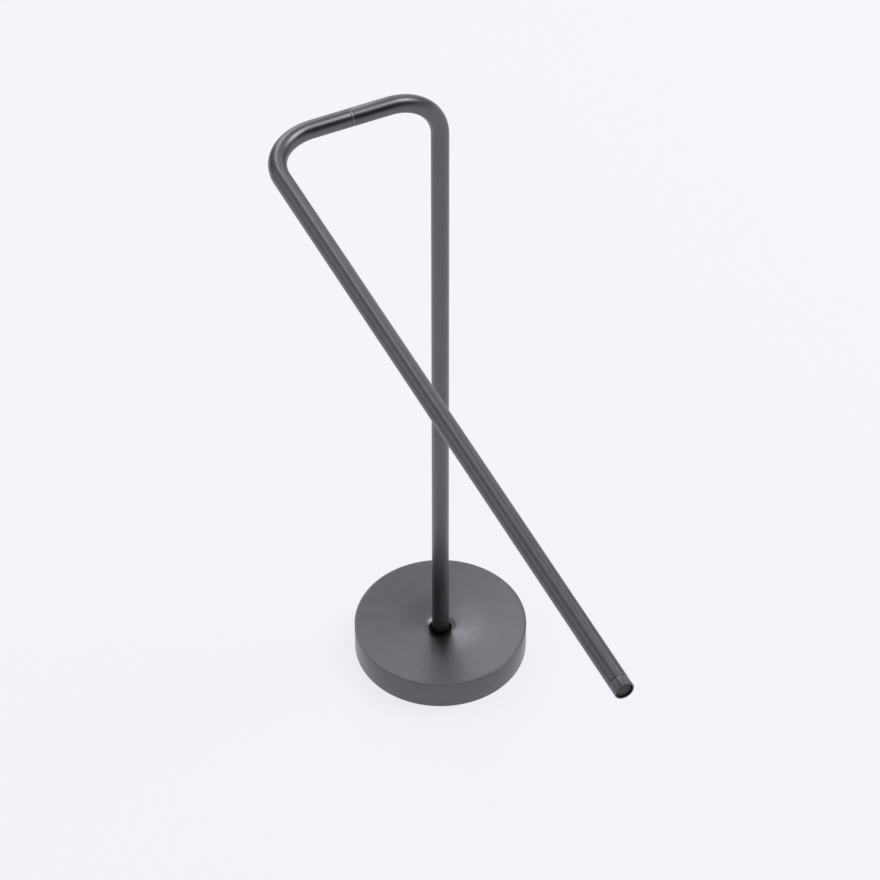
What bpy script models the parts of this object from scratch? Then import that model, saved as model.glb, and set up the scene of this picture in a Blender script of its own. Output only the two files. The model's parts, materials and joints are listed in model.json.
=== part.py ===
"""Paper towel holder: a weighted round base, a bent post and an arm that swings about the top bar.

Units are metres and +Z is up.  The origin is on the table, on the axis of the post.  The top bar
runs from the post towards -X.  The arm hangs from the bar's outer end: it is modelled swung out to
the horizontal, pointing along -Y, and it turns about the bar's axis at the seam in the bar's middle.
"""

import math

import bmesh
import bpy
from mathutils import Vector

# Overall layout
TUBE_RADIUS = 0.006
TUBE_WALL = 0.0015
BAR_HEIGHT = 0.518
LEG_SPACING = 0.125
BEND_RADIUS = 0.036
ARM_REACH = 0.508

# Base
BASE_RADIUS = 0.0615
BASE_TOP = 0.023
COVER_FOOT = 0.0007
COVER_SHEET = 0.0015
RIM_ROUND = 0.0004
RIM_SLOPE = 0.07
FUNNEL_RADIUS = 0.033
FUNNEL_CURVE = 0.146
LIP_RADIUS = 0.012
LIP_CURVE = 0.0105
POST_HOLE_RADIUS = 0.0081
HOLE_ROUND = 0.0005

# Clearance between pieces that touch, the radii that follow from it, and small edge details
FIT_GAP = 0.0003
LOOSE_GAP = 0.0005
BORE_RADIUS = TUBE_RADIUS - TUBE_WALL
PLUG_RADIUS = BORE_RADIUS - FIT_GAP
CHAMFER = 0.0003
CUTTER_LEAD = 0.001

# Inside the base
PAD_THICKNESS = 0.0012
PAD_RADIUS = 0.057
PLATE_BOTTOM = PAD_THICKNESS + FIT_GAP
PLATE_TOP = PLATE_BOTTOM + 0.002
PLATE_RADIUS = BASE_RADIUS - COVER_SHEET - LOOSE_GAP
BALLAST_BOTTOM = PLATE_TOP + FIT_GAP
BALLAST_RADIUS = PLATE_RADIUS
BALLAST_CLEARANCE = 0.0004
POST_FOOT = 0.010
WEB_TOP = POST_FOOT - FIT_GAP
WEB_BOTTOM = WEB_TOP - 0.0038
SOCKET_RADIUS = TUBE_RADIUS + LOOSE_GAP
HEAD_POCKET_RADIUS = 0.0055
GROMMET_SEAT_RADIUS = 0.0103
GROMMET_SEAT = 0.0125
PAD_EDGE = 0.0003
GROMMET_SUNK = 0.0013

# Fasteners of the base
FASTENER_CIRCLE = 0.042
FASTENER_COUNT = 3
STANDOFF_CORNER_RADIUS = 0.00404
STANDOFF_TOP = 0.0195
STANDOFF_BORE = 0.014
SCREW_RADIUS = 0.0017
SCREW_HEAD_RADIUS = 0.0036
SCREW_END = 0.012
SCREW_KEY_RADIUS = 0.0013
SCREW_KEY_DEPTH = 0.0012
BOLT_RADIUS = 0.0025
BOLT_HEAD_RADIUS = 0.00425
BOLT_HEAD_TOP = PLATE_BOTTOM + 0.003
BOLT_END = 0.024
BOLT_KEY_RADIUS = 0.00173
BOLT_KEY_DEPTH = 0.0018
BOLT_WASHER_RADIUS = 0.005
BOLT_WASHER = 0.0008
FOOT_PLUG_TOP = 0.030
FOOT_PLUG_BORE = BOLT_END + 0.002

# Swivel, measured along the bar from the seam, positive towards the post
SEAM_X = -LEG_SPACING / 2
SEAM_WASHER = 0.0006
TUBE_SETBACK = SEAM_WASHER / 2 + FIT_GAP
HOUSING_END = 0.019
BUSH_LENGTH = 0.0061
BUSH_SEAT_RADIUS = 0.0034
JOURNAL_RADIUS = 0.0022
JOURNAL_CLEARANCE = JOURNAL_RADIUS + FIT_GAP
THREAD_RADIUS = 0.002
THREAD_END = 0.026
SPINDLE_PLUG = 0.020
SPRING_SHEET = 0.0004
SPRING_RISE = 0.0005
SPRING_RADIUS = 0.004
SPRING_STACK = SPRING_RISE + SPRING_SHEET + FIT_GAP
SPRING_START = HOUSING_END + FIT_GAP
NUT_START = SPRING_START + 2 * SPRING_STACK
NUT_HEIGHT = 0.0032
NUT_CORNER_RADIUS = 0.00404
GRUB_RADIUS = 0.0015
GRUB_SUNK = 0.0005
GRUB_KEY_RADIUS = 0.00087
GRUB_KEY_DEPTH = 0.001
HOUSING_GRUB = 0.0095
HOUSING_GRUB_TIP = 0.0035
SPINDLE_GRUB = -0.012
SPINDLE_GRUB_TIP = 0.0029

# Arm's free end
CAP_LENGTH = 0.0072
CAP_STEM = 0.015
CAP_POCKET_RADIUS = 0.005
CAP_POCKET_DEPTH = 0.003
CAP_ROUND = 0.0004
END_PAD_SUNK = 0.001

# Fineness of the round surfaces
BASE_STEPS = 48
SMALL_STEPS = 20
TUBE_BEVEL = 10
BEND_STEPS = 8
FUNNEL_STEPS = 4
LIP_STEPS = 2
SHARP_ANGLE = math.radians(30)
WELD = 0.00002


# ---------------------------------------------------------------- scene and materials

def clear_scene():
    for old in list(bpy.data.objects):
        bpy.data.objects.remove(old, do_unlink=True)


def make_collection(name):
    collection = bpy.data.collections.new(name)
    bpy.context.scene.collection.children.link(collection)
    return collection


def make_material(name, colour, roughness, metallic):
    material = bpy.data.materials.new(name)
    material.use_nodes = True
    shader = material.node_tree.nodes["Principled BSDF"]
    shader.inputs["Base Color"].default_value = (*colour, 1.0)
    shader.inputs["Roughness"].default_value = roughness
    shader.inputs["Metallic"].default_value = metallic
    material.diffuse_color = (*colour, 1.0)
    return material


def make_empty(name, collection, parent=None, location=(0, 0, 0), rotation=(0, 0, 0)):
    empty = bpy.data.objects.new(name, None)
    empty.empty_display_size = 0.02
    place(empty, collection, parent, location, rotation)
    return empty


def place(item, collection, parent, location=(0, 0, 0), rotation=(0, 0, 0)):
    collection.objects.link(item)
    item.parent = parent
    item.location = location
    item.rotation_euler = rotation


def add_part(name, mesh, material, parent, location=(0, 0, 0), rotation=(0, 0, 0)):
    """Put a mesh in the scene as one named sub-part."""
    part = bpy.data.objects.new(name, mesh)
    if material.name not in [m.name for m in mesh.materials if m]:
        mesh.materials.append(material)
    place(part, PARTS, parent, location, rotation)
    return part


def cut(part, cutter):
    """Subtract a cutter from a part with a live Boolean."""
    boolean = part.modifiers.new("cut_" + cutter.name, "BOOLEAN")
    boolean.operation = "DIFFERENCE"
    boolean.solver = "EXACT"
    boolean.object = cutter


def add_cutter(name, mesh, parent, location=(0, 0, 0), rotation=(0, 0, 0)):
    cutter = bpy.data.objects.new(name, mesh)
    cutter.hide_render = True
    cutter.display_type = "WIRE"
    place(cutter, CUTTERS, parent, location, rotation)
    return cutter


# ---------------------------------------------------------------- shapes

def shade_round(mesh):
    mesh.shade_smooth()
    mesh.set_sharp_from_angle(angle=SHARP_ANGLE)


def evaluated_mesh(item):
    """The item's mesh with its modifiers or its curve bevel worked in, welded; the item is removed."""
    depsgraph = bpy.context.evaluated_depsgraph_get()
    mesh = bpy.data.meshes.new_from_object(item.evaluated_get(depsgraph))
    mesh.name = item.name
    bpy.data.objects.remove(item, do_unlink=True)
    work = bmesh.new()
    work.from_mesh(mesh)
    bmesh.ops.remove_doubles(work, verts=work.verts, dist=WELD)
    work.to_mesh(mesh)
    work.free()
    return mesh


def turned(name, profile, steps=SMALL_STEPS, ring=False):
    """A turned shape about Z.  The profile is (radius, height) points that run down the outer side.

    A ring's profile closes on itself; otherwise both of its ends lie on the axis.
    """
    points = [(radius, 0.0, height) for radius, height in profile]
    edges = [(i, i + 1) for i in range(len(points) - 1)]
    if ring:
        edges.append((len(points) - 1, 0))
    outline = bpy.data.meshes.new(name)
    outline.from_pydata(points, edges, [])
    lathe = bpy.data.objects.new(name, outline)
    bpy.context.scene.collection.objects.link(lathe)
    screw = lathe.modifiers.new("screw", "SCREW")
    screw.axis = "Z"
    screw.angle = math.tau
    screw.steps = steps
    screw.render_steps = steps
    screw.use_merge_vertices = True
    screw.merge_threshold = WELD
    mesh = evaluated_mesh(lathe)
    shade_round(mesh)
    return mesh


def prism(name, sides, radius, bottom, top):
    """An upright prism about Z, such as a hexagon bar or a plain drill for a cutter."""
    mesh = bpy.data.meshes.new(name)
    work = bmesh.new()
    bmesh.ops.create_cone(work, cap_ends=True, segments=sides, radius1=radius, radius2=radius,
                          depth=top - bottom)
    bmesh.ops.translate(work, verts=work.verts, vec=(0, 0, (top + bottom) / 2))
    work.to_mesh(mesh)
    work.free()
    return mesh


def arc(centre, radius, start, end, steps):
    """Profile points on an arc, angles in degrees from the outward direction."""
    points = []
    for i in range(steps + 1):
        angle = math.radians(start + (end - start) * i / steps)
        points.append((centre[0] + radius * math.cos(angle), centre[1] + radius * math.sin(angle)))
    return points


def bend(corner, incoming, outgoing):
    """Path points round a right-angled corner, from the incoming direction to the outgoing one."""
    corner, incoming, outgoing = Vector(corner), Vector(incoming), Vector(outgoing)
    centre = corner - BEND_RADIUS * incoming + BEND_RADIUS * outgoing
    points = []
    for i in range(BEND_STEPS + 1):
        angle = math.pi / 2 * i / BEND_STEPS
        points.append(centre + BEND_RADIUS * (math.sin(angle) * incoming - math.cos(angle) * outgoing))
    return points


def tube(name, path):
    """A hollow tube along a path, open at both ends."""
    curve = bpy.data.curves.new(name, "CURVE")
    curve.dimensions = "3D"
    curve.bevel_depth = TUBE_RADIUS
    curve.bevel_resolution = TUBE_BEVEL
    curve.use_fill_caps = False
    spline = curve.splines.new("POLY")
    spline.points.add(len(path) - 1)
    for knot, point in zip(spline.points, path):
        knot.co = (*point, 1.0)
    run = bpy.data.objects.new(name, curve)
    bpy.context.scene.collection.objects.link(run)
    skin = bpy.data.objects.new(name, evaluated_mesh(run))
    bpy.context.scene.collection.objects.link(skin)
    wall = skin.modifiers.new("wall", "SOLIDIFY")
    wall.thickness = TUBE_WALL
    wall.offset = -1.0
    mesh = evaluated_mesh(skin)
    shade_round(mesh)
    return mesh


# ---------------------------------------------------------------- base

def dish_height(radius):
    """Height of the dished top: a shallow cone from the rim, a funnel, and a lip round the hole."""
    fall = RIM_SLOPE * (BASE_RADIUS - RIM_ROUND - radius)
    if radius < FUNNEL_RADIUS:
        fall += (FUNNEL_RADIUS - radius) ** 2 / (2 * FUNNEL_CURVE)
    if radius < LIP_RADIUS:
        fall += (LIP_RADIUS - radius) ** 2 / (2 * LIP_CURVE)
    return BASE_TOP - fall


def dish_line(inner, outer, drop=0.0):
    """Profile points along the dish from an inner radius to an outer one, lowered by a drop."""
    radii = [inner + (LIP_RADIUS - inner) * i / LIP_STEPS for i in range(LIP_STEPS)]
    radii += [LIP_RADIUS + (FUNNEL_RADIUS - LIP_RADIUS) * i / FUNNEL_STEPS for i in range(FUNNEL_STEPS + 1)]
    radii.append(outer)
    return [(radius, dish_height(radius) - drop) for radius in radii]


def base_cover():
    edge_radius = POST_HOLE_RADIUS + HOLE_ROUND
    edge_top = dish_height(edge_radius)
    wall_inside = BASE_RADIUS - COVER_SHEET
    profile = arc((edge_radius, edge_top - HOLE_ROUND), HOLE_ROUND, 180, 90, 2)
    profile += dish_line(edge_radius, BASE_RADIUS - RIM_ROUND)[1:-1]
    profile += arc((BASE_RADIUS - RIM_ROUND, BASE_TOP - RIM_ROUND), RIM_ROUND, 90, 0, 2)
    profile += [(BASE_RADIUS, COVER_FOOT), (wall_inside, COVER_FOOT)]
    profile += reversed(dish_line(POST_HOLE_RADIUS, wall_inside, COVER_SHEET))
    return turned("base_cover", profile, BASE_STEPS, ring=True)


def ballast_disc():
    profile = [(GROMMET_SEAT_RADIUS, GROMMET_SEAT)]
    profile += dish_line(GROMMET_SEAT_RADIUS, BALLAST_RADIUS, COVER_SHEET + BALLAST_CLEARANCE)
    profile += [
        (BALLAST_RADIUS, BALLAST_BOTTOM),
        (HEAD_POCKET_RADIUS, BALLAST_BOTTOM),
        (HEAD_POCKET_RADIUS, WEB_BOTTOM),
        (BOLT_RADIUS + FIT_GAP, WEB_BOTTOM),
        (BOLT_RADIUS + FIT_GAP, WEB_TOP),
        (SOCKET_RADIUS, WEB_TOP),
        (SOCKET_RADIUS, GROMMET_SEAT),
    ]
    return turned("ballast_disc", profile, BASE_STEPS, ring=True)


def bottom_plate():
    profile = [
        (HEAD_POCKET_RADIUS, PLATE_TOP),
        (PLATE_RADIUS, PLATE_TOP),
        (PLATE_RADIUS, PLATE_BOTTOM),
        (HEAD_POCKET_RADIUS, PLATE_BOTTOM),
    ]
    return turned("bottom_plate", profile, BASE_STEPS, ring=True)


def anti_slip_pad():
    profile = [
        (0.0, PAD_THICKNESS),
        (PAD_RADIUS, PAD_THICKNESS),
        (PAD_RADIUS, PAD_EDGE),
        (PAD_RADIUS - PAD_EDGE, 0.0),
        (0.0, 0.0),
    ]
    return turned("anti_slip_pad", profile, BASE_STEPS)


def post_grommet():
    inside = TUBE_RADIUS + FIT_GAP
    flange = GROMMET_SEAT_RADIUS - LOOSE_GAP
    neck = POST_HOLE_RADIUS - FIT_GAP
    flange_top = dish_height(POST_HOLE_RADIUS) - COVER_SHEET - BALLAST_CLEARANCE
    neck_top = dish_height(POST_HOLE_RADIUS) - GROMMET_SUNK
    profile = [
        (inside, neck_top),
        (neck - CHAMFER, neck_top),
        (neck, neck_top - CHAMFER),
        (neck, flange_top),
        (flange, flange_top),
        (flange, GROMMET_SEAT + FIT_GAP),
        (inside, GROMMET_SEAT + FIT_GAP),
    ]
    return turned("post_grommet", profile, 2 * SMALL_STEPS, ring=True)


# ---------------------------------------------------------------- fasteners of the base

def round_bar(name, radius, bottom, top):
    """A plain bar about Z with a chamfer at its upper end."""
    profile = [
        (0.0, top),
        (radius - CHAMFER, top),
        (radius, top - CHAMFER),
        (radius, bottom),
        (0.0, bottom),
    ]
    return turned(name, profile)


def ring_between(name, inner, outer, bottom, top):
    profile = [(inner, top), (outer, top), (outer, bottom), (inner, bottom)]
    return turned(name, profile, ring=True)


def post_bolt():
    profile = [
        (0.0, BOLT_END),
        (BOLT_RADIUS - CHAMFER, BOLT_END),
        (BOLT_RADIUS, BOLT_END - CHAMFER),
        (BOLT_RADIUS, BOLT_HEAD_TOP),
        (BOLT_HEAD_RADIUS, BOLT_HEAD_TOP),
        (BOLT_HEAD_RADIUS, PLATE_BOTTOM + CHAMFER),
        (BOLT_HEAD_RADIUS - CHAMFER, PLATE_BOTTOM),
        (0.0, PLATE_BOTTOM),
    ]
    return turned("post_bolt", profile)


def plate_screw():
    """A countersunk screw, its flat head flush with the underside of the plate."""
    head_top = PLATE_BOTTOM + SCREW_HEAD_RADIUS - SCREW_RADIUS
    profile = [
        (0.0, SCREW_END),
        (SCREW_RADIUS - CHAMFER, SCREW_END),
        (SCREW_RADIUS, SCREW_END - CHAMFER),
        (SCREW_RADIUS, head_top),
        (SCREW_HEAD_RADIUS, PLATE_BOTTOM),
        (0.0, PLATE_BOTTOM),
    ]
    return turned("plate_screw", profile)


def countersink():
    """The cutter for a plate screw's hole, a clearance wider than the screw all round."""
    wide = SCREW_HEAD_RADIUS + FIT_GAP
    narrow = SCREW_RADIUS + FIT_GAP
    profile = [
        (0.0, PLATE_TOP + CUTTER_LEAD),
        (narrow, PLATE_TOP + CUTTER_LEAD),
        (narrow, PLATE_BOTTOM + wide - narrow),
        (wide, PLATE_BOTTOM),
        (wide, PLATE_BOTTOM - CUTTER_LEAD),
        (0.0, PLATE_BOTTOM - CUTTER_LEAD),
    ]
    return turned("countersink", profile)


def add_plate_fasteners(holder, plate, ballast):
    """The standoffs under the cover, with the screws that pull the plate up against the ballast."""
    standoff_mesh = prism("cover_standoff", 6, STANDOFF_CORNER_RADIUS, PLATE_TOP + FIT_GAP, STANDOFF_TOP)
    screw_mesh = plate_screw()
    sink_mesh = countersink()
    well_mesh = prism("standoff_well", SMALL_STEPS, STANDOFF_CORNER_RADIUS + LOOSE_GAP, 0.0, BASE_TOP)
    bore_mesh = prism("standoff_bore", SMALL_STEPS, SCREW_RADIUS + FIT_GAP, PLATE_BOTTOM, STANDOFF_BORE)
    key_mesh = prism("screw_key", 6, SCREW_KEY_RADIUS, PLATE_BOTTOM - CUTTER_LEAD,
                     PLATE_BOTTOM + SCREW_KEY_DEPTH)
    for i in range(FASTENER_COUNT):
        angle = math.tau * (i + 0.5) / FASTENER_COUNT
        spot = (FASTENER_CIRCLE * math.cos(angle), FASTENER_CIRCLE * math.sin(angle), 0.0)
        number = "_%d" % (i + 1)
        standoff = add_part("cover_standoff" + number, standoff_mesh, ZINC_STEEL, holder, spot)
        screw = add_part("plate_screw" + number, screw_mesh, ZINC_STEEL, holder, spot)
        cut(plate, add_cutter("countersink" + number, sink_mesh, holder, spot))
        cut(ballast, add_cutter("standoff_well" + number, well_mesh, holder, spot))
        cut(standoff, add_cutter("standoff_bore" + number, bore_mesh, holder, spot))
        cut(screw, add_cutter("screw_key" + number, key_mesh, holder, spot))


def add_base(holder):
    add_part("base_cover", base_cover(), POWDER_COAT, holder)
    ballast = add_part("ballast_disc", ballast_disc(), CAST_IRON, holder)
    plate = add_part("bottom_plate", bottom_plate(), ZINC_STEEL, holder)
    add_part("anti_slip_pad", anti_slip_pad(), RUBBER, holder)
    add_part("post_grommet", post_grommet(), RUBBER, holder)
    add_plate_fasteners(holder, plate, ballast)


# ---------------------------------------------------------------- post and arm tubes

def post_tube():
    corner = (0.0, 0.0, BAR_HEIGHT)
    path = [Vector((0.0, 0.0, POST_FOOT))]
    path += bend(corner, (0, 0, 1), (-1, 0, 0))
    path.append(Vector((SEAM_X + TUBE_SETBACK, 0.0, BAR_HEIGHT)))
    return tube("post_tube", path)


def arm_tube():
    """The arm, measured from the middle of the seam."""
    corner = (-LEG_SPACING / 2, 0.0, 0.0)
    path = [Vector((-TUBE_SETBACK, 0.0, 0.0))]
    path += bend(corner, (-1, 0, 0), (0, -1, 0))
    path.append(Vector((-LEG_SPACING / 2, CAP_LENGTH - ARM_REACH, 0.0)))
    return tube("arm_tube", path)


def post_foot_plug():
    bottom = POST_FOOT + FIT_GAP
    thread = BOLT_RADIUS + FIT_GAP
    profile = [
        (0.0, FOOT_PLUG_TOP),
        (PLUG_RADIUS, FOOT_PLUG_TOP),
        (PLUG_RADIUS, bottom),
        (thread, bottom),
        (thread, FOOT_PLUG_BORE),
        (0.0, FOOT_PLUG_BORE),
    ]
    return turned("post_foot_plug", profile)


def add_post(holder):
    post = add_part("post_tube", post_tube(), POWDER_COAT, holder)
    add_part("post_foot_plug", post_foot_plug(), ZINC_STEEL, holder)
    bolt = add_part("post_bolt", post_bolt(), ZINC_STEEL, holder)
    key = prism("bolt_key", 6, BOLT_KEY_RADIUS, PLATE_BOTTOM - CUTTER_LEAD, PLATE_BOTTOM + BOLT_KEY_DEPTH)
    cut(bolt, add_cutter("bolt_key", key, holder))
    washer_bottom = BOLT_HEAD_TOP + FIT_GAP
    washer = ring_between("post_bolt_washer", BOLT_RADIUS + FIT_GAP, BOLT_WASHER_RADIUS,
                          washer_bottom, washer_bottom + BOLT_WASHER)
    add_part("post_bolt_washer", washer, SPRING_STEEL, holder)
    return post


# ---------------------------------------------------------------- swivel

def swivel_housing():
    """The sleeve inside the bar: a seat for a bush at each end, thick in the middle."""
    middle_start = TUBE_SETBACK + BUSH_LENGTH + FIT_GAP
    middle_end = HOUSING_END - BUSH_LENGTH - FIT_GAP
    profile = [
        (BUSH_SEAT_RADIUS, HOUSING_END),
        (PLUG_RADIUS, HOUSING_END),
        (PLUG_RADIUS, TUBE_SETBACK),
        (BUSH_SEAT_RADIUS, TUBE_SETBACK),
        (BUSH_SEAT_RADIUS, middle_start),
        (JOURNAL_CLEARANCE, middle_start),
        (JOURNAL_CLEARANCE, middle_end),
        (BUSH_SEAT_RADIUS, middle_end),
    ]
    return turned("swivel_housing", profile, ring=True)


def swivel_spindle():
    """Plug for the arm tube, then the journal that turns in the bushes, then the nut's thread."""
    thread_start = NUT_START - FIT_GAP / 2
    profile = [
        (0.0, THREAD_END),
        (THREAD_RADIUS - CHAMFER, THREAD_END),
        (THREAD_RADIUS, THREAD_END - CHAMFER),
        (THREAD_RADIUS, thread_start),
        (JOURNAL_RADIUS, thread_start),
        (JOURNAL_RADIUS, -TUBE_SETBACK),
        (PLUG_RADIUS, -TUBE_SETBACK),
        (PLUG_RADIUS, CHAMFER - SPINDLE_PLUG),
        (PLUG_RADIUS - CHAMFER, -SPINDLE_PLUG),
        (0.0, -SPINDLE_PLUG),
    ]
    return turned("swivel_spindle", profile)


def disc_spring(name, start, open_to_post):
    """A coned washer.  Its wide edge is at the start, or at the far side where it opens to the post."""
    wide, narrow = (SPRING_RISE, 0.0) if open_to_post else (0.0, SPRING_RISE)
    profile = [
        (JOURNAL_CLEARANCE, start + narrow + SPRING_SHEET),
        (SPRING_RADIUS, start + wide + SPRING_SHEET),
        (SPRING_RADIUS, start + wide),
        (JOURNAL_CLEARANCE, start + narrow),
    ]
    return turned(name, profile, ring=True)


def add_swivel(bar_axis, arm_axis, post, arm):
    """The pieces on the bar's axis; the first axis stays with the post and the second with the arm."""
    housing = add_part("swivel_housing", swivel_housing(), ZINC_STEEL, bar_axis)
    bushes = (("swivel_bush_seam", TUBE_SETBACK), ("swivel_bush_post", HOUSING_END - BUSH_LENGTH))
    for name, start in bushes:
        bush = ring_between(name, JOURNAL_CLEARANCE, BUSH_SEAT_RADIUS - FIT_GAP, start, start + BUSH_LENGTH)
        add_part(name, bush, BEARING_BRONZE, bar_axis)
    seam = ring_between("seam_washer", JOURNAL_CLEARANCE, TUBE_RADIUS, -SEAM_WASHER / 2, SEAM_WASHER / 2)
    add_part("seam_washer", seam, WASHER_NYLON, bar_axis)
    first = disc_spring("disc_spring_1", SPRING_START, False)
    second = disc_spring("disc_spring_2", SPRING_START + SPRING_STACK, True)
    add_part("disc_spring_1", first, SPRING_STEEL, bar_axis)
    add_part("disc_spring_2", second, SPRING_STEEL, bar_axis)

    spindle = add_part("swivel_spindle", swivel_spindle(), ZINC_STEEL, arm_axis)
    nut_mesh = prism("spindle_nut", 6, NUT_CORNER_RADIUS, NUT_START, NUT_START + NUT_HEIGHT)
    nut = add_part("spindle_nut", nut_mesh, ZINC_STEEL, arm_axis)
    thread = prism("nut_thread", SMALL_STEPS, THREAD_RADIUS + FIT_GAP, NUT_START - CUTTER_LEAD,
                   NUT_START + NUT_HEIGHT + CUTTER_LEAD)
    cut(nut, add_cutter("nut_thread", thread, arm_axis))

    add_grub_screw("housing_grub_screw", bar_axis, HOUSING_GRUB, HOUSING_GRUB_TIP, (post, housing))
    add_grub_screw("spindle_grub_screw", arm_axis, SPINDLE_GRUB, SPINDLE_GRUB_TIP, (arm, spindle))


def add_grub_screw(name, axis, along, tip_radius, pierced):
    """A set screw under the bar, sunk in the tube's wall; its hole runs through the pierced parts."""
    spot = (0.0, 0.0, along)
    outward = (0.0, math.pi / 2, 0.0)
    head = TUBE_RADIUS - GRUB_SUNK
    screw_mesh = round_bar(name, GRUB_RADIUS, tip_radius, head)
    screw = add_part(name, screw_mesh, SPRING_STEEL, axis, spot, outward)
    key = prism(name + "_key", 6, GRUB_KEY_RADIUS, head - GRUB_KEY_DEPTH, head + CUTTER_LEAD)
    cut(screw, add_cutter(name + "_key", key, axis, spot, outward))
    hole = prism(name + "_hole", SMALL_STEPS, GRUB_RADIUS + FIT_GAP, tip_radius - FIT_GAP, 2 * TUBE_RADIUS)
    hole_cutter = add_cutter(name + "_hole", hole, axis, spot, outward)
    for part in pierced:
        cut(part, hole_cutter)


# ---------------------------------------------------------------- arm

def arm_end_cap():
    """The turned cap: a stem inside the tube, a collar as wide as it, and a pocket in the face."""
    profile = [
        (0.0, CAP_LENGTH - CAP_POCKET_DEPTH),
        (CAP_POCKET_RADIUS, CAP_LENGTH - CAP_POCKET_DEPTH),
        (CAP_POCKET_RADIUS, CAP_LENGTH),
    ]
    profile += arc((TUBE_RADIUS - CAP_ROUND, CAP_LENGTH - CAP_ROUND), CAP_ROUND, 90, 0, 2)
    profile += [
        (TUBE_RADIUS, FIT_GAP),
        (PLUG_RADIUS, FIT_GAP),
        (PLUG_RADIUS, CHAMFER - CAP_STEM),
        (PLUG_RADIUS - CHAMFER, -CAP_STEM),
        (0.0, -CAP_STEM),
    ]
    return turned("arm_end_cap", profile)


def end_cap_pad():
    top = CAP_LENGTH - END_PAD_SUNK
    bottom = CAP_LENGTH - CAP_POCKET_DEPTH + FIT_GAP
    return round_bar("end_cap_pad", CAP_POCKET_RADIUS - FIT_GAP, bottom, top)


def add_arm(pivot):
    arm = add_part("arm_tube", arm_tube(), POWDER_COAT, pivot)
    tube_end = (-LEG_SPACING / 2, CAP_LENGTH - ARM_REACH, 0.0)
    towards_end = (math.pi / 2, 0.0, 0.0)
    add_part("arm_end_cap", arm_end_cap(), POWDER_COAT, pivot, tube_end, towards_end)
    add_part("end_cap_pad", end_cap_pad(), RUBBER, pivot, tube_end, towards_end)
    return arm


# ---------------------------------------------------------------- assembly

def build():
    holder = make_empty("holder_origin", PARTS)
    seam = (SEAM_X, 0.0, BAR_HEIGHT)
    along_bar = (0.0, math.pi / 2, 0.0)
    bar_axis = make_empty("bar_axis", PARTS, holder, seam, along_bar)
    pivot = make_empty("arm_pivot", PARTS, holder, seam)
    arm_axis = make_empty("arm_axis", PARTS, pivot, rotation=along_bar)
    add_base(holder)
    post = add_post(holder)
    arm = add_arm(pivot)
    add_swivel(bar_axis, arm_axis, post, arm)


clear_scene()
PARTS = make_collection("paper_towel_holder")
CUTTERS = make_collection("cutters")
POWDER_COAT = make_material("powder_coat", (0.085, 0.085, 0.092), 0.42, 0.3)
CAST_IRON = make_material("cast_iron", (0.045, 0.045, 0.045), 0.7, 0.6)
ZINC_STEEL = make_material("zinc_steel", (0.5, 0.5, 0.52), 0.35, 1.0)
SPRING_STEEL = make_material("spring_steel", (0.12, 0.12, 0.13), 0.35, 0.9)
BEARING_BRONZE = make_material("bearing_bronze", (0.45, 0.27, 0.1), 0.35, 1.0)
WASHER_NYLON = make_material("washer_nylon", (0.35, 0.35, 0.36), 0.5, 0.0)
RUBBER = make_material("black_rubber", (0.012, 0.012, 0.013), 0.7, 0.0)
build()
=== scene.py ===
"""The looks of a paper towel holder: a dished round base, a bent post and a long swinging arm.

Units are metres and +Z is up.  Every piece is lofted round a track: a straight axis for turned pieces,
or the bent centreline of a tube.  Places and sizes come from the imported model's boxes and joint.
"""

import json
import math

import bmesh
import bpy
from mathutils import Matrix, Vector


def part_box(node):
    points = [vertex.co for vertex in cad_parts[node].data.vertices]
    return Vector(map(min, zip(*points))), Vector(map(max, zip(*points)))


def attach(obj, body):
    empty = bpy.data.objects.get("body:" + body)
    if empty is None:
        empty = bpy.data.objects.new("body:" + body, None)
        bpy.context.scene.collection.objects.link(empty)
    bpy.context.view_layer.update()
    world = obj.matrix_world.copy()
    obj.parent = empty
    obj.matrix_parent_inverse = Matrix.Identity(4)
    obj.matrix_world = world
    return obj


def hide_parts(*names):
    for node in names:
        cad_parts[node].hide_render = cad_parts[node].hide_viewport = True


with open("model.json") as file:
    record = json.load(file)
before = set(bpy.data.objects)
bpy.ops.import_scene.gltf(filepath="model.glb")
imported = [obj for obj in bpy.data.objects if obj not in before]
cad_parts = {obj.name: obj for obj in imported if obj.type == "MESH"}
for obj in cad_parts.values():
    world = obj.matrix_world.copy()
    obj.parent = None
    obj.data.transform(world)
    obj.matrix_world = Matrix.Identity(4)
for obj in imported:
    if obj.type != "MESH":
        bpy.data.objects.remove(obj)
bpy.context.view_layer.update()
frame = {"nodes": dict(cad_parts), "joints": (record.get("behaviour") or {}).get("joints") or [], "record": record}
NODES = frame["nodes"]

# The dish of the base, as the part's source has it
RIM_SLOPE = 0.07
FUNNEL_RADIUS = 0.033
FUNNEL_CURVE = 0.146
LIP_RADIUS = 0.012
LIP_CURVE = 0.0105
POST_HOLE_RADIUS = 0.0081
COVER_SHEET = 0.0015
HOLE_ROUND = 0.0005
RIM_ROUND = 0.0006

# Tubes, and the grub-screw holes drilled up into them.  EDGE_ROUND also breaks the cover's lower edge.
TUBE_WALL = 0.0015
EDGE_ROUND = 0.00025
BEND_RADIUS = 0.036
GRUB_HOLE_RADIUS = 0.0017
GRUB_HOLE_DEPTH = 0.003
GRUB_HOLE_SINK = 0.0002
DRILL_RUN_IN = 0.002

# Rubber at the foot
RUBBER_ROUND = 0.0004
GROMMET_NECK_GAP = 0.0003
GROMMET_FLANGE_GAP = 0.0004
GROMMET_BORE_GAP = 0.0002

# The thin ring between the two halves of the bar
SEAM_HALF_WIDTH = 0.00038
SEAM_ROUND = 0.0001
SEAM_BORE = 0.0025

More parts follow.
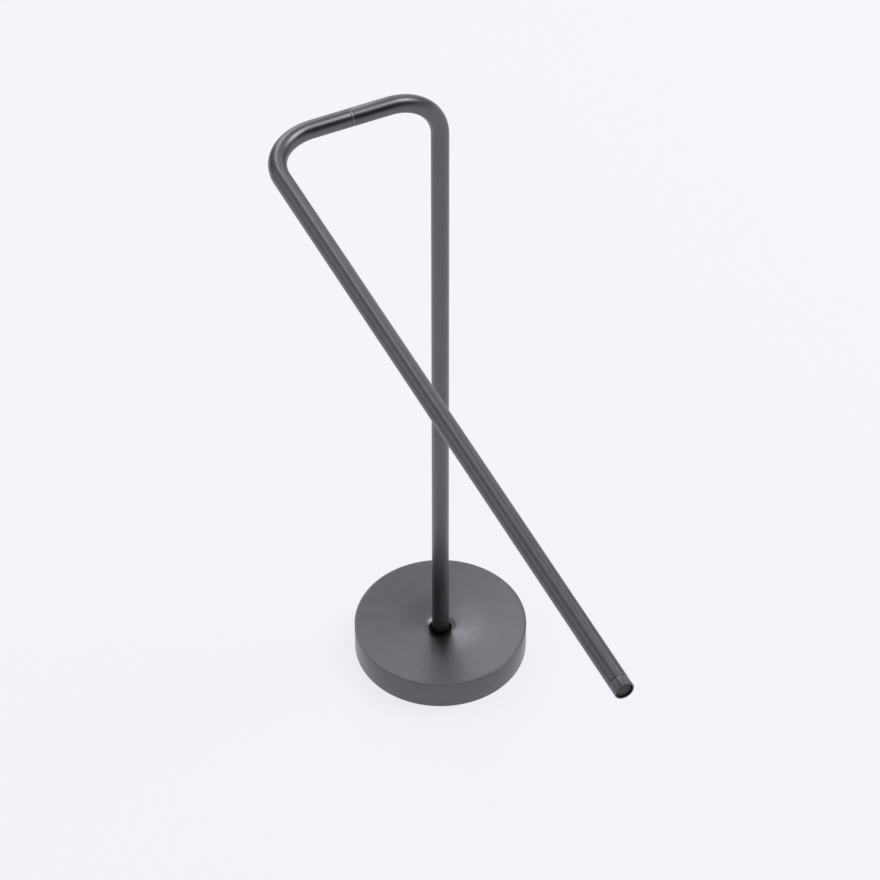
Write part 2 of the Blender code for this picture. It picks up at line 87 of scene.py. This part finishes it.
# The end cap and the disc sunk in its face
CAP_SEAM = 0.00025
CAP_SEAM_ROUND = 0.0002
CAP_FACE_ROUND = 0.0004
CAP_POCKET_RADIUS = 0.0050
CAP_POCKET_DEPTH = 0.003
CAP_POCKET_ROUND = 0.0002
CAP_STEM_GAP = 0.0003
CAP_STEM_CHAMFER = 0.0003
DISC_ROUND = 0.0003

# How finely round shapes are cut
TUBE_SIDES = 64
BEND_STEPS = 32
BASE_SIDES = 192
SMALL_SIDES = 48
GROMMET_SIDES = 96
DISH_STEPS = 44
PAD_RINGS = 4
ROUND_STEPS = 5
SMALL_ROUND_STEPS = 3
GROMMET_TOP_STEPS = 4
PAD_TOP_STEPS = 2
SHARP_ANGLE = math.radians(32)

# Camera: a long lens from the front left, above
CAMERA_AZIMUTH = math.radians(-24.995)
CAMERA_ELEVATION = math.radians(44.628)
CAMERA_ROLL = math.radians(-0.047)
CAMERA_DISTANCE = 2.950
CAMERA_LENS = 175.69
CAMERA_SENSOR = 36.0
CAMERA_REACH = 60.0
CAMERA_TARGET_HEIGHT = 0.20579
CAMERA_TARGET_SIDE = -0.0002

# Materials: the part of a noise's 0..1 that is spread over a finish's range
NOISE_SPAN = (0.25, 0.75)
COLOUR_SPAN = (0.3, 0.7)

# Studio: radiances are in the picture's own scale, where 1 is white
FLOOR_RADIUS = 14.0
FLOOR_SIDES = 96
FLOOR_GLOW = 0.855
FLOOR_ALBEDO = 0.14
PALE = (0.896, 0.905, 0.939)
LIGHT_TINT = (0.98, 0.99, 1.03)
ROOM_BRIGHT_SIDE = (-47.0, 62.5)
ROOM_BRIGHTNESS = 0.44
ROOM_EDGE = (0.52, 0.67)
SOFTBOX_DISTANCE = 4.0
SOFTBOXES = (
    # name, azimuth, elevation, half width, half height (all in degrees, see away_from_camera), radiance
    ("key_softbox", 74.0, 52.0, 15.0, 16.0, 1.37),
    ("key_core", 74.0, 54.0, 9.0, 9.0, 5.86),
    ("key_lower", 66.0, 42.0, 10.0, 8.0, 1.05),
    ("overhead_softbox", 112.0, 74.0, 15.0, 12.0, 1.96),
    ("overhead_core", 135.0, 78.0, 10.0, 10.0, 1.17),
    ("ceiling_panel", 325.0, 76.0, 10.0, 10.0, 0.56),
    ("rear_strip", 342.0, 40.0, 8.0, 22.0, 0.67),
    ("rear_strip_core", 344.0, 34.0, 5.0, 12.0, 1.45),
    ("rear_strip_top", 338.0, 58.0, 9.0, 10.0, 0.98),
    ("back_panel", 5.0, 21.0, 32.0, 25.0, 1.00),
    ("back_panel_top", 12.0, 40.0, 16.0, 8.0, 0.15),
    ("left_panel", 272.0, 27.0, 24.0, 20.0, 0.49),
    ("left_core", 280.0, 26.0, 14.0, 12.0, 0.27),
    ("right_panel", 72.0, 14.0, 28.0, 14.0, 0.50),
    # dim panels on the camera's side, so that the object isn't black from behind
    ("front_fill", 172.0, 12.0, 46.0, 10.0, 0.08),
    ("front_fill_core", 183.0, 15.0, 28.0, 13.0, 0.35),
    ("front_fill_right", 112.0, 13.0, 14.0, 12.0, 0.35),
    ("front_fill_left", 225.0, 12.0, 20.0, 11.0, 0.35),
)


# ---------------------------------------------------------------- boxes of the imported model

def low(node):
    """The lowest corner of a CAD node's box."""
    return Vector(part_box(node)[0])


def high(node):
    """The highest corner of a CAD node's box."""
    return Vector(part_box(node)[1])


TUBE_RADIUS = high("post_tube").x
BAR_HEIGHT = high("post_tube").z - TUBE_RADIUS
POST_FOOT = low("post_tube").z
SEAM_X = frame["joints"][0]["pos_m"][0]
ARM_X = low("arm_tube").x + TUBE_RADIUS
POST_BAR_END = low("post_tube").x
ARM_BAR_END = high("arm_tube").x
ARM_TUBE_END = low("arm_tube").y
BASE_RADIUS = high("base_cover").x
BASE_TOP = high("base_cover").z
COVER_FOOT = low("base_cover").z


# ---------------------------------------------------------------- tracks

def straight_track(start, direction):
    """A track that runs straight from a start point.  A track gives, for a distance along it, its
    centre there and two directions across it."""
    start, direction = Vector(start), Vector(direction).normalized()
    side = Vector((0, 1, 0)) if abs(direction.y) < 0.9 else Vector((1, 0, 0))
    across = side.cross(direction).normalized()
    up = direction.cross(across)

    def at(distance):
        return start + direction * distance, across, up

    return at


def bent_track(start, corner, end, radius):
    """A track with one right-angled bend, with its length and the distances to its bend's two ends."""
    start, corner, end = Vector(start), Vector(corner), Vector(end)
    first, last = (corner - start).normalized(), (end - corner).normalized()
    plane = first.cross(last)
    straight = (corner - start).length - radius
    curve = radius * math.pi / 2
    centre = corner - first * radius + last * radius

    def at(distance):
        if distance < straight:
            heading, place = first, start + first * distance
        elif distance > straight + curve:
            heading = last
            place = corner + last * (radius + distance - straight - curve)
        else:
            angle = (distance - straight) / radius
            heading = first * math.cos(angle) + last * math.sin(angle)
            place = centre + radius * (first * math.sin(angle) - last * math.cos(angle))
        return place, plane.cross(heading), plane

    length = straight + curve + (end - corner).length - radius
    return at, (length, straight, straight + curve)


UPRIGHT = straight_track((0, 0, 0), (0, 0, 1))


# ---------------------------------------------------------------- lofting

def loft(name, track, outline, sides, closed=False):
    """A skin round a track.  The outline holds (distance, radius) pairs, and a radius of 0 closes an
    end.  With closed set, the last ring joins the first, as in a tube with a bore."""
    work = bmesh.new()
    rings = []
    for distance, radius in outline:
        centre, across, up = track(distance)
        if radius == 0:
            rings.append([work.verts.new(centre)])
            continue
        ring = []
        for i in range(sides):
            angle = math.tau * i / sides
            ring.append(work.verts.new(centre + radius * (math.cos(angle) * across + math.sin(angle) * up)))
        rings.append(ring)
    pairs = list(zip(rings, rings[1:]))
    if closed:
        pairs.append((rings[-1], rings[0]))
    for one, two in pairs:
        for i in range(sides):
            j = (i + 1) % sides
            corners = [one[i % len(one)], one[j % len(one)], two[j % len(two)], two[i % len(two)]]
            work.faces.new(list(dict.fromkeys(corners)))
    bmesh.ops.recalc_face_normals(work, faces=work.faces)
    mesh = bpy.data.meshes.new(name)
    work.to_mesh(mesh)
    work.free()
    mesh.shade_smooth()
    mesh.set_sharp_from_angle(angle=SHARP_ANGLE)
    piece = bpy.data.objects.new(name, mesh)
    bpy.context.scene.collection.objects.link(piece)
    return piece


def rounded(distance, radius, start, end, size, steps=ROUND_STEPS):
    """Outline points round an edge: an arc about (distance, radius), angles in degrees from +distance."""
    points = []
    for i in range(steps + 1):
        angle = math.radians(start + (end - start) * i / steps)
        points.append((distance + size * math.cos(angle), radius + size * math.sin(angle)))
    return points


def add(piece, node, body, material):
    """Show a piece instead of a CAD node, riding on the node's body."""
    piece.data.materials.append(material)
    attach(piece, body)
    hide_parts(node)
    return piece


def drill(piece, name, screw):
    """A countersunk hole under the bar, below a grub screw, cut into a tube."""
    screw_middle = (low(screw).x + high(screw).x) / 2
    track = straight_track((screw_middle, 0, BAR_HEIGHT - TUBE_RADIUS - DRILL_RUN_IN), (0, 0, 1))
    end = DRILL_RUN_IN + GRUB_HOLE_DEPTH
    outline = [
        (0.0, 0),
        (0.0, GRUB_HOLE_RADIUS + GRUB_HOLE_SINK),
        (DRILL_RUN_IN, GRUB_HOLE_RADIUS + GRUB_HOLE_SINK),
        (DRILL_RUN_IN + GRUB_HOLE_SINK, GRUB_HOLE_RADIUS),
        (end, GRUB_HOLE_RADIUS),
        (end, 0),
    ]
    cutter = loft(name, track, outline, SMALL_SIDES)
    boolean = piece.modifiers.new(name, "BOOLEAN")
    boolean.operation = "DIFFERENCE"
    boolean.solver = "EXACT"
    boolean.object = cutter
    depsgraph = bpy.context.evaluated_depsgraph_get()
    mesh = bpy.data.meshes.new_from_object(piece.evaluated_get(depsgraph))
    piece.modifiers.clear()
    piece.data = mesh
    bpy.data.objects.remove(cutter, do_unlink=True)


# ---------------------------------------------------------------- materials

class Shader:
    """A Principled material being built, one layer of detail at a time."""

    def __init__(self, name, metallic, specular=0.5):
        self.material = bpy.data.materials.new(name)
        self.material.use_nodes = True
        self.tree = self.material.node_tree
        self.surface = self.tree.nodes["Principled BSDF"]
        self.surface.inputs["Metallic"].default_value = metallic
        self.surface.inputs["Specular IOR Level"].default_value = specular
        self.place = self.tree.nodes.new("ShaderNodeTexCoord").outputs["Object"]

    def link(self, out, socket):
        self.tree.links.new(out, self.surface.inputs[socket])

    def noise(self, scale, detail):
        item = self.tree.nodes.new("ShaderNodeTexNoise")
        item.inputs["Scale"].default_value = scale
        item.inputs["Detail"].default_value = detail
        self.tree.links.new(self.place, item.inputs["Vector"])
        return item.outputs["Fac"]

    def mottle(self, scale, dark, light, detail=2.0):
        """Colour that wanders between two tones."""
        middle = [(one + two) / 2 for one, two in zip(dark, light)]
        self.material.diffuse_color = (*middle, 1)
        self.surface.inputs["Base Color"].default_value = (*middle, 1)
        ramp = self.tree.nodes.new("ShaderNodeValToRGB")
        for element, position, tone in zip(ramp.color_ramp.elements, COLOUR_SPAN, (dark, light)):
            element.position = position
            element.color = (*tone, 1)
        self.tree.links.new(self.noise(scale, detail), ramp.inputs["Fac"])
        self.link(ramp.outputs["Color"], "Base Color")

    def wear(self, scale, smooth, rough, detail=2.0):
        """Roughness that wanders between two values."""
        self.surface.inputs["Roughness"].default_value = (smooth + rough) / 2
        span = self.tree.nodes.new("ShaderNodeMapRange")
        span.inputs["From Min"].default_value, span.inputs["From Max"].default_value = NOISE_SPAN
        span.inputs["To Min"].default_value = smooth
        span.inputs["To Max"].default_value = rough
        self.tree.links.new(self.noise(scale, detail), span.inputs["Value"])
        self.link(span.outputs["Result"], "Roughness")

    def grain(self, scale, strength, depth, detail=2.0):
        """Fine unevenness of the surface."""
        bump = self.tree.nodes.new("ShaderNodeBump")
        bump.inputs["Strength"].default_value = strength
        bump.inputs["Distance"].default_value = depth
        self.tree.links.new(self.noise(scale, detail), bump.inputs["Height"])
        self.link(bump.outputs["Normal"], "Normal")


def satin_coat():
    """Dark grey metallic powder coat, satin, with a very fine orange peel."""
    shader = Shader("satin_powder_coat", metallic=1.0)
    shader.mottle(120.0, dark=(0.121, 0.118, 0.126), light=(0.133, 0.130, 0.138), detail=5.0)
    shader.wear(260.0, smooth=0.315, rough=0.365, detail=4.0)
    shader.grain(1800.0, strength=0.10, depth=0.00003)
    return shader.material


def black_rubber():
    """Dull black rubber with a fine moulded grain."""
    shader = Shader("black_rubber", metallic=0.0, specular=0.12)
    shader.mottle(900.0, dark=(0.004, 0.004, 0.004), light=(0.009, 0.009, 0.009))
    shader.wear(500.0, smooth=0.68, rough=0.84)
    shader.grain(4000.0, strength=0.25, depth=0.00005, detail=3.0)
    return shader.material


def scuffed_rubber():
    """The end disc's rubber, greyed by handling."""
    shader = Shader("scuffed_rubber", metallic=0.0)
    shader.mottle(1100.0, dark=(0.030, 0.030, 0.033), light=(0.050, 0.050, 0.053), detail=4.0)
    shader.wear(700.0, smooth=0.5, rough=0.7, detail=3.0)
    shader.grain(3500.0, strength=0.25, depth=0.00005, detail=3.0)
    return shader.material


def washer_nylon():
    """Graphite-filled nylon: mottled grey, rubbed to a metallic sheen."""
    shader = Shader("washer_nylon", metallic=0.85)
    shader.mottle(400.0, dark=(0.26, 0.26, 0.27), light=(0.34, 0.34, 0.35), detail=3.0)
    shader.wear(900.0, smooth=0.32, rough=0.44)
    shader.grain(5000.0, strength=0.1, depth=0.00002)
    return shader.material


def zinc_steel():
    """Zinc-plated steel: bright, slightly blue, unevenly dulled."""
    shader = Shader("zinc_steel", metallic=1.0)
    shader.mottle(300.0, dark=(0.46, 0.47, 0.50), light=(0.56, 0.56, 0.57), detail=4.0)
    shader.wear(700.0, smooth=0.24, rough=0.4, detail=3.0)
    shader.grain(2500.0, strength=0.12, depth=0.00003)
    return shader.material


def spring_steel():
    """Blackened spring steel, rubbed bright in places."""
    shader = Shader("spring_steel", metallic=0.9)
    shader.mottle(500.0, dark=(0.09, 0.09, 0.10), light=(0.15, 0.15, 0.16), detail=3.0)
    shader.wear(800.0, smooth=0.28, rough=0.42, detail=3.0)
    shader.grain(3000.0, strength=0.1, depth=0.00002)
    return shader.material


def sintered_bronze():
    """Porous bronze, darkened by oil in its pores."""
    shader = Shader("sintered_bronze", metallic=1.0)
    shader.mottle(1500.0, dark=(0.33, 0.19, 0.07), light=(0.52, 0.32, 0.13))
    shader.wear(1500.0, smooth=0.3, rough=0.5)
    shader.grain(6000.0, strength=0.2, depth=0.00003)
    return shader.material


def cast_iron():
    """Rough dark cast iron."""
    shader = Shader("cast_iron", metallic=0.6)
    shader.mottle(200.0, dark=(0.035, 0.034, 0.034), light=(0.06, 0.058, 0.056), detail=4.0)
    shader.wear(300.0, smooth=0.6, rough=0.8, detail=3.0)
    shader.grain(900.0, strength=0.5, depth=0.0002, detail=4.0)
    return shader.material


# ---------------------------------------------------------------- base

def dish_height(radius):
    """Height of the dished top: a shallow cone from the rim, a funnel, and a lip round the hole."""
    fall = RIM_SLOPE * (BASE_RADIUS - RIM_ROUND - radius)
    if radius < FUNNEL_RADIUS:
        fall += (FUNNEL_RADIUS - radius) ** 2 / (2 * FUNNEL_CURVE)
    if radius < LIP_RADIUS:
        fall += (LIP_RADIUS - radius) ** 2 / (2 * LIP_CURVE)
    return BASE_TOP - fall


def dish_line(inner, outer, drop, steps):
    """Outline points along the dish, from one radius out to another, lowered by a drop."""
    radii = [inner + (outer - inner) * i / steps for i in range(steps + 1)]
    return [(dish_height(radius) - drop, radius) for radius in radii]


def add_cover(coat):
    """The base's shell: dished top, rounded rim, side wall and the sheet's inner face."""
    lip = POST_HOLE_RADIUS + HOLE_ROUND
    lip_top = dish_height(lip)
    wall_inside = BASE_RADIUS - COVER_SHEET
    outline = rounded(lip_top - HOLE_ROUND, lip, -90, 0, HOLE_ROUND)
    outline += dish_line(lip, BASE_RADIUS - RIM_ROUND, 0.0, DISH_STEPS)[1:-1]
    outline += rounded(BASE_TOP - RIM_ROUND, BASE_RADIUS - RIM_ROUND, 0, 90, RIM_ROUND)
    edge = EDGE_ROUND
    outline += rounded(COVER_FOOT + edge, BASE_RADIUS - edge, 90, 180, edge, SMALL_ROUND_STEPS)
    outline += [(COVER_FOOT, wall_inside)]
    outline += reversed(dish_line(POST_HOLE_RADIUS, wall_inside, COVER_SHEET, DISH_STEPS // 2))
    cover = loft("cover_shell", UPRIGHT, outline, BASE_SIDES, closed=True)
    add(cover, "base_cover", "holder", coat)


def add_grommet(rubber):
    """The black ring round the post's foot: a neck in the cover's hole on a flange under the sheet."""
    bottom, top = low("post_grommet").z, high("post_grommet").z
    flange = high("post_grommet").x
    neck = POST_HOLE_RADIUS - GROMMET_NECK_GAP
    flange_top = dish_height(POST_HOLE_RADIUS) - COVER_SHEET - GROMMET_FLANGE_GAP
    bore = TUBE_RADIUS + GROMMET_BORE_GAP
    soft = RUBBER_ROUND
    outline = rounded(top - soft, bore + soft, -90, 0, soft, GROMMET_TOP_STEPS)
    outline += rounded(top - soft, neck - soft, 0, 90, soft, GROMMET_TOP_STEPS)
    outline += [(flange_top, neck)]
    outline += rounded(flange_top - soft, flange - soft, 0, 90, soft, SMALL_ROUND_STEPS)
    outline += rounded(bottom + soft, flange - soft, 90, 180, soft, SMALL_ROUND_STEPS)
    outline += [(bottom, bore)]
    grommet = loft("foot_grommet", UPRIGHT, outline, GROMMET_SIDES, closed=True)
    add(grommet, "post_grommet", "holder", rubber)


def add_foot_pad(rubber):
    """The anti-slip sheet under the base."""
    top, radius = high("anti_slip_pad").z, high("anti_slip_pad").x
    soft, top_soft = RUBBER_ROUND, RUBBER_ROUND / 2
    rings = [radius * i / PAD_RINGS for i in range(PAD_RINGS)]
    outline = [(0.0, ring) for ring in rings]
    outline += rounded(soft, radius - soft, 180, 90, soft, SMALL_ROUND_STEPS)
    outline += rounded(top - top_soft, radius - top_soft, 90, 0, top_soft, PAD_TOP_STEPS)
    outline += [(top, ring) for ring in reversed(rings)]
    pad = loft("foot_pad", UPRIGHT, outline, BASE_SIDES)
    add(pad, "anti_slip_pad", "holder", rubber)


# ---------------------------------------------------------------- tubes

def hollow_outline(length, bend_start, bend_end):
    """Outer skin from one end to the other and the bore back again, with softly broken edges."""
    stops = [bend_start + (bend_end - bend_start) * i / BEND_STEPS for i in range(BEND_STEPS + 1)]
    bore = TUBE_RADIUS - TUBE_WALL
    edge = EDGE_ROUND
    outline = rounded(edge, TUBE_RADIUS - edge, 180, 90, edge, SMALL_ROUND_STEPS)
    outline += [(stop, TUBE_RADIUS) for stop in stops]
    outline += rounded(length - edge, TUBE_RADIUS - edge, 90, 0, edge, SMALL_ROUND_STEPS)
    outline += [(length, bore)]
    outline += [(stop, bore) for stop in reversed(stops)]
    outline += [(0.0, bore)]
    return outline


def add_post_tube(coat):
    """The post, its bend and its half of the bar."""
    foot, corner, end = (0, 0, POST_FOOT), (0, 0, BAR_HEIGHT), (POST_BAR_END, 0, BAR_HEIGHT)
    track, sizes = bent_track(foot, corner, end, BEND_RADIUS)
    post = loft("post_bent_tube", track, hollow_outline(*sizes), TUBE_SIDES, closed=True)
    drill(post, "housing_grub_hole", "housing_grub_screw")
    add(post, "post_tube", "holder", coat)


def add_arm_tube(coat):
    """The arm's half of the bar, its bend and the long arm."""
    start, corner = (ARM_BAR_END, 0, BAR_HEIGHT), (ARM_X, 0, BAR_HEIGHT)
    track, sizes = bent_track(start, corner, (ARM_X, ARM_TUBE_END, BAR_HEIGHT), BEND_RADIUS)
    arm = loft("arm_bent_tube", track, hollow_outline(*sizes), TUBE_SIDES, closed=True)
    drill(arm, "spindle_grub_hole", "spindle_grub_screw")
    add(arm, "arm_tube", "arm", coat)


def towards_tip():
    """The track from the arm tube's open end out to the arm's tip."""
    return straight_track((ARM_X, ARM_TUBE_END, BAR_HEIGHT), (0, -1, 0))


def add_seam_washer(nylon):
    """The thin ring that shows as a line across the bar."""
    along = straight_track((SEAM_X, 0, BAR_HEIGHT), (1, 0, 0))
    half, soft = SEAM_HALF_WIDTH, SEAM_ROUND
    outline = rounded(soft - half, TUBE_RADIUS - soft, 180, 90, soft, SMALL_ROUND_STEPS)
    outline += rounded(half - soft, TUBE_RADIUS - soft, 90, 0, soft, SMALL_ROUND_STEPS)
    outline += [(half, SEAM_BORE), (-half, SEAM_BORE)]
    washer = loft("seam_ring", along, outline, TUBE_SIDES, closed=True)
    add(washer, "seam_washer", "holder", nylon)


def add_end_cap(coat):
    """The turned cap at the arm's free end, with its stem inside the tube and a pocket in its face."""
    length = ARM_TUBE_END - low("arm_end_cap").y
    stem_start = ARM_TUBE_END - high("arm_end_cap").y
    stem = TUBE_RADIUS - TUBE_WALL - CAP_STEM_GAP
    floor = length - CAP_POCKET_DEPTH
    mouth, mouth_round = CAP_POCKET_RADIUS + CAP_POCKET_ROUND, CAP_POCKET_ROUND
    face, seam = CAP_FACE_ROUND, CAP_SEAM_ROUND
    outline = [(floor, 0), (floor, CAP_POCKET_RADIUS)]
    outline += rounded(length - mouth_round, mouth, -90, 0, mouth_round, SMALL_ROUND_STEPS)
    outline += rounded(length - face, TUBE_RADIUS - face, 0, 90, face)
    outline += rounded(CAP_SEAM + seam, TUBE_RADIUS - seam, 90, 180, seam, SMALL_ROUND_STEPS)
    outline += [(CAP_SEAM, stem), (stem_start + CAP_STEM_CHAMFER, stem)]
    outline += [(stem_start, stem - CAP_STEM_CHAMFER), (stem_start, 0)]
    cap = loft("end_cap_turned", towards_tip(), outline, TUBE_SIDES)
    add(cap, "arm_end_cap", "arm", coat)


def add_end_disc(rubber):
    """The dark disc sunk in the end cap's face."""
    top = ARM_TUBE_END - low("end_cap_pad").y
    bottom = ARM_TUBE_END - high("end_cap_pad").y
    radius = (high("end_cap_pad").x - low("end_cap_pad").x) / 2
    outline = [(bottom, 0), (bottom, radius)]
    outline += rounded(top - DISC_ROUND, radius - DISC_ROUND, 90, 0, DISC_ROUND, SMALL_ROUND_STEPS)
    outline += [(top, 0)]
    disc = loft("end_cap_disc", towards_tip(), outline, TUBE_SIDES)
    add(disc, "end_cap_pad", "arm", rubber)


def finish_inner_nodes(steel, spring, bronze, iron):
    """The hidden CAD nodes keep their shape and get a better material."""
    looks = {
        "zinc_steel": steel,
        "spring_steel": spring,
        "bearing_bronze": bronze,
        "cast_iron": iron,
    }
    for part in frame["record"]["subparts"]:
        if part["material_slot"] in looks:
            node = NODES[part["node"]]
            node.data.materials.clear()
            node.data.materials.append(looks[part["material_slot"]])


# ---------------------------------------------------------------- studio

def add_floor():
    """A plain pale floor, mostly lit from within so that shadows on it stay faint."""
    bpy.ops.mesh.primitive_circle_add(vertices=FLOOR_SIDES, radius=FLOOR_RADIUS, fill_type="NGON")
    floor = bpy.context.object
    floor.name = "studio_floor"
    material = bpy.data.materials.new("studio_floor")
    material.use_nodes = True
    surface = material.node_tree.nodes["Principled BSDF"]
    tint = [FLOOR_ALBEDO * tone / PALE[1] for tone in PALE]
    surface.inputs["Base Color"].default_value = (*tint, 1)
    surface.inputs["Roughness"].default_value = 1.0
    surface.inputs["Specular IOR Level"].default_value = 0.0
    surface.inputs["Emission Color"].default_value = (*PALE, 1)
    surface.inputs["Emission Strength"].default_value = FLOOR_GLOW
    floor.data.materials.append(material)


def away_from_camera(azimuth, elevation):
    """A direction, with its azimuth measured clockwise from straight away from the camera."""
    turn = math.radians(azimuth) - CAMERA_AZIMUTH
    rise = math.radians(elevation)
    return Vector((math.sin(turn) * math.cos(rise), math.cos(turn) * math.cos(rise), math.sin(rise)))


def add_world():
    """A room that is bright on one side and dark elsewhere, and plain and pale to the camera."""
    world = bpy.data.worlds.new("studio")
    bpy.context.scene.world = world
    world.use_nodes = True
    tree = world.node_tree
    nodes, links = tree.nodes, tree.links
    dim = nodes["Background"]
    direction = nodes.new("ShaderNodeTexCoord")
    facing = nodes.new("ShaderNodeVectorMath")
    facing.operation = "DOT_PRODUCT"
    facing.inputs[1].default_value = away_from_camera(*ROOM_BRIGHT_SIDE)
    links.new(direction.outputs["Generated"], facing.inputs[0])
    glow = nodes.new("ShaderNodeMapRange")
    glow.interpolation_type = "SMOOTHSTEP"
    glow.inputs["From Min"].default_value, glow.inputs["From Max"].default_value = ROOM_EDGE
    glow.inputs["To Max"].default_value = ROOM_BRIGHTNESS
    links.new(facing.outputs["Value"], glow.inputs["Value"])
    links.new(glow.outputs["Result"], dim.inputs["Strength"])
    dim.inputs["Color"].default_value = (*LIGHT_TINT, 1)
    backdrop = nodes.new("ShaderNodeBackground")
    backdrop.inputs["Color"].default_value = (*PALE, 1)
    path = nodes.new("ShaderNodeLightPath")
    mix = nodes.new("ShaderNodeMixShader")
    links.new(path.outputs["Is Camera Ray"], mix.inputs[0])
    links.new(dim.outputs[0], mix.inputs[1])
    links.new(backdrop.outputs[0], mix.inputs[2])
    links.new(mix.outputs[0], nodes["World Output"].inputs["Surface"])


def add_softbox(name, azimuth, elevation, half_width, half_height, radiance):
    """A rectangular light facing the object, sized by the half angles it fills."""
    towards = away_from_camera(azimuth, elevation)
    light = bpy.data.lights.new(name, "AREA")
    light.shape = "RECTANGLE"
    light.size = 2 * SOFTBOX_DISTANCE * math.tan(math.radians(half_width))
    light.size_y = 2 * SOFTBOX_DISTANCE * math.tan(math.radians(half_height))
    light.energy = radiance * math.pi * light.size * light.size_y
    light.color = LIGHT_TINT
    lamp = bpy.data.objects.new(name, light)
    bpy.context.scene.collection.objects.link(lamp)
    lamp.location = towards * SOFTBOX_DISTANCE
    lamp.rotation_euler = towards.to_track_quat("Z", "Y").to_euler()
    lamp.visible_camera = False


def add_camera():
    """The camera, looking at a point on the object's middle line."""
    data = bpy.data.cameras.new("camera")
    data.sensor_width = CAMERA_SENSOR
    data.lens = CAMERA_LENS
    data.clip_end = CAMERA_REACH
    camera = bpy.data.objects.new("camera", data)
    bpy.context.scene.collection.objects.link(camera)
    back = away_from_camera(180.0, math.degrees(CAMERA_ELEVATION))
    right = Vector((math.cos(CAMERA_AZIMUTH), math.sin(CAMERA_AZIMUTH), 0))
    target = right * CAMERA_TARGET_SIDE + Vector((0, 0, CAMERA_TARGET_HEIGHT))
    camera.location = target + back * CAMERA_DISTANCE
    roll = Matrix.Rotation(CAMERA_ROLL, 4, "Z")
    camera.rotation_euler = (back.to_track_quat("Z", "Y").to_matrix().to_4x4() @ roll).to_euler()
    bpy.context.scene.camera = camera


def add_studio():
    """The room, the floor, the lights and a plain view transform."""
    add_world()
    add_floor()
    for softbox in SOFTBOXES:
        add_softbox(*softbox)
    view = bpy.context.scene.view_settings
    view.view_transform = "Standard"
    view.look = "None"


# ---------------------------------------------------------------- assembly

def main():
    """Camera and studio, then every visible piece, then the hidden pieces' materials."""
    add_camera()
    add_studio()
    coat = satin_coat()
    rubber = black_rubber()
    add_cover(coat)
    add_grommet(rubber)
    add_foot_pad(rubber)
    add_post_tube(coat)
    add_arm_tube(coat)
    add_seam_washer(washer_nylon())
    add_end_cap(coat)
    add_end_disc(scuffed_rubber())
    finish_inner_nodes(zinc_steel(), spring_steel(), sintered_bronze(), cast_iron())


main()
